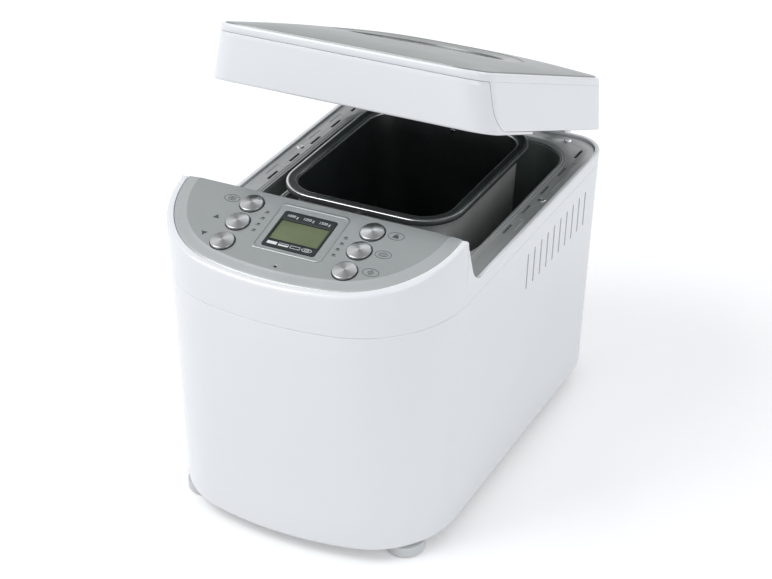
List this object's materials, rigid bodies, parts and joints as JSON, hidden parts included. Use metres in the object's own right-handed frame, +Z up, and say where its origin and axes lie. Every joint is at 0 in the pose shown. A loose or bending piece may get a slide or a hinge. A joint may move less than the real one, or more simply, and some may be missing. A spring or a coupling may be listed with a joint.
{
  "type": "bread machine",
  "caption": "Countertop bread machine with a sloping button panel, a baking chamber with lift-out pan, kneading paddle and bail, belt drive, and a hinged lid with an oval window.",
  "frame": {"origin": "on the table, under the middle of the machine's box at rest with its lid ajar", "axes": "+X to the machine's right seen from the front, +Y to its rear, +Z up"},
  "size_m": [0.2448, 0.3877, 0.3714],
  "materials": {
    "white_gloss": "glossy white moulded plastic",
    "grey_plastic": "matt light grey plastic",
    "foot_plastic": "matt pale grey plastic",
    "fascia_silver": "satin silver-grey lacquer",
    "display_black": "glossy dark surround",
    "display_green": "unlit grey-green liquid crystal",
    "circuit_board": "solder-masked board",
    "button_chrome": "polished plated plastic",
    "frame_steel": "satin grey pressed sheet",
    "screw_steel": "zinc-plated steel",
    "chamber_steel": "dull grey-green coated sheet steel",
    "heater_sheath": "heat-tinted tube",
    "drive_steel": "turned steel",
    "dark_metal": "sintered metal",
    "pulley_plastic": "black glass-filled plastic",
    "belt_rubber": "toothed rubber belt",
    "motor_steel": "plain steel can",
    "lid_satin": "satin grey lacquer",
    "trim_silver": "pale satin ring",
    "window_glass": "clear toughened glass",
    "pan_aluminium": "spun aluminium outside, dark non-stick inside",
    "non_stick": "dark non-stick coating",
    "grip_black": "heat-proof black sleeve"
  },
  "bodies": {
    "machine": {"main_housing": "white_gloss", "base_plate": "grey_plastic", "feet": "foot_plastic", "foot_screws": "screw_steel", "top_housing": "white_gloss", "control_fascia": "fascia_silver", "display_frame": "display_black", "display_window": "display_green", "display_module": "display_green", "control_board": "circuit_board", "fascia_screws": "screw_steel", "chamber_frame": "frame_steel", "frame_screws": "screw_steel", "baking_chamber": "chamber_steel", "heater_element": "heater_sheath", "heater_clips": "screw_steel", "temperature_sensor": "screw_steel", "pan_springs": "screw_steel", "drive_bearing": "dark_metal", "drive_belt": "belt_rubber", "motor": "motor_steel", "motor_bracket": "screw_steel", "power_board": "circuit_board", "cable_gland": "grey_plastic", "hinge_brackets": "white_gloss", "hinge_pins": "screw_steel"},
    "lid": {"lid_frame": "white_gloss", "lid_front_panel": "white_gloss", "lid_cap": "lid_satin", "window_trim": "trim_silver", "window_glass": "window_glass", "lid_liner": "frame_steel", "liner_screws": "screw_steel", "lid_arms": "white_gloss"},
    "pan": {"handle_pivots": "screw_steel", "pan": "pan_aluminium", "pan_base_ring": "pan_aluminium", "pan_bearing": "dark_metal"},
    "pan_rotor": {"pan_shaft": "drive_steel"},
    "paddle": {"kneading_paddle": "non_stick"},
    "bail": {"handle_bail": "screw_steel", "handle_grip": "grip_black"},
    "drive": {"drive_shaft": "drive_steel", "drive_dog": "drive_steel", "large_pulley": "pulley_plastic"},
    "motor_rotor": {"motor_shaft": "drive_steel", "motor_pulley": "pulley_plastic"},
    "select_button_body": {"select_button": "button_chrome"},
    "raise_button_body": {"raise_button": "button_chrome"},
    "lower_button_body": {"lower_button": "button_chrome"},
    "weight_button_body": {"weight_button": "button_chrome"},
    "crust_button_body": {"crust_button": "button_chrome"},
    "start_button_body": {"start_button": "button_chrome"}
  },
  "joints": [
    {"name": "lid_hinge", "type": "hinge", "parent": "machine", "child": "lid", "pos_m": [0, 0.18675, 0.22], "axis": [-1, 0, 0], "range_deg": [-23, 57]},
    {"name": "pan_lift", "type": "slide", "parent": "machine", "child": "pan", "axis": [0, 0, 1], "range_m": [0, 0.034]},
    {"name": "bail_swing", "type": "hinge", "parent": "pan", "child": "bail", "pos_m": [0, 0.03925, 0.221], "axis": [0, 1, 0], "range_deg": [0, 45]},
    {"name": "drive_spin", "type": "hinge", "parent": "machine", "child": "drive", "pos_m": [0, 0.03925, 0.05], "axis": [0, 0, 1], "continuous": true},
    {"name": "motor_spin", "type": "hinge", "parent": "machine", "child": "motor_rotor", "pos_m": [0, -0.13025, 0.05], "axis": [0, 0, 1], "continuous": true},
    {"name": "pan_shaft_spin", "type": "hinge", "parent": "pan", "child": "pan_rotor", "pos_m": [0, 0.03925, 0.1], "axis": [0, 0, 1], "continuous": true},
    {"name": "paddle_lift", "type": "slide", "parent": "pan_rotor", "child": "paddle", "axis": [0, 0, 1], "range_m": [0, 0.025]},
    {"name": "select_button_press", "type": "slide", "parent": "machine", "child": "select_button_body", "axis": [0, -0.2334, 0.9724], "range_m": [-0.0008, 0], "stiffness_N_per_m": 900},
    {"name": "raise_button_press", "type": "slide", "parent": "machine", "child": "raise_button_body", "axis": [0, -0.2334, 0.9724], "range_m": [-0.0008, 0], "stiffness_N_per_m": 900},
    {"name": "lower_button_press", "type": "slide", "parent": "machine", "child": "lower_button_body", "axis": [0, -0.2334, 0.9724], "range_m": [-0.0008, 0], "stiffness_N_per_m": 900},
    {"name": "weight_button_press", "type": "slide", "parent": "machine", "child": "weight_button_body", "axis": [0, -0.2334, 0.9724], "range_m": [-0.0008, 0], "stiffness_N_per_m": 900},
    {"name": "crust_button_press", "type": "slide", "parent": "machine", "child": "crust_button_body", "axis": [0, -0.2334, 0.9724], "range_m": [-0.0008, 0], "stiffness_N_per_m": 900},
    {"name": "start_button_press", "type": "slide", "parent": "machine", "child": "start_button_body", "axis": [0, -0.2334, 0.9724], "range_m": [-0.0008, 0], "stiffness_N_per_m": 900}
  ],
  "couplings": [
    {"joint": "motor_spin", "follows": "drive_spin", "ratio": 5},
    {"joint": "pan_shaft_spin", "follows": "drive_spin", "ratio": 1}
  ]
}
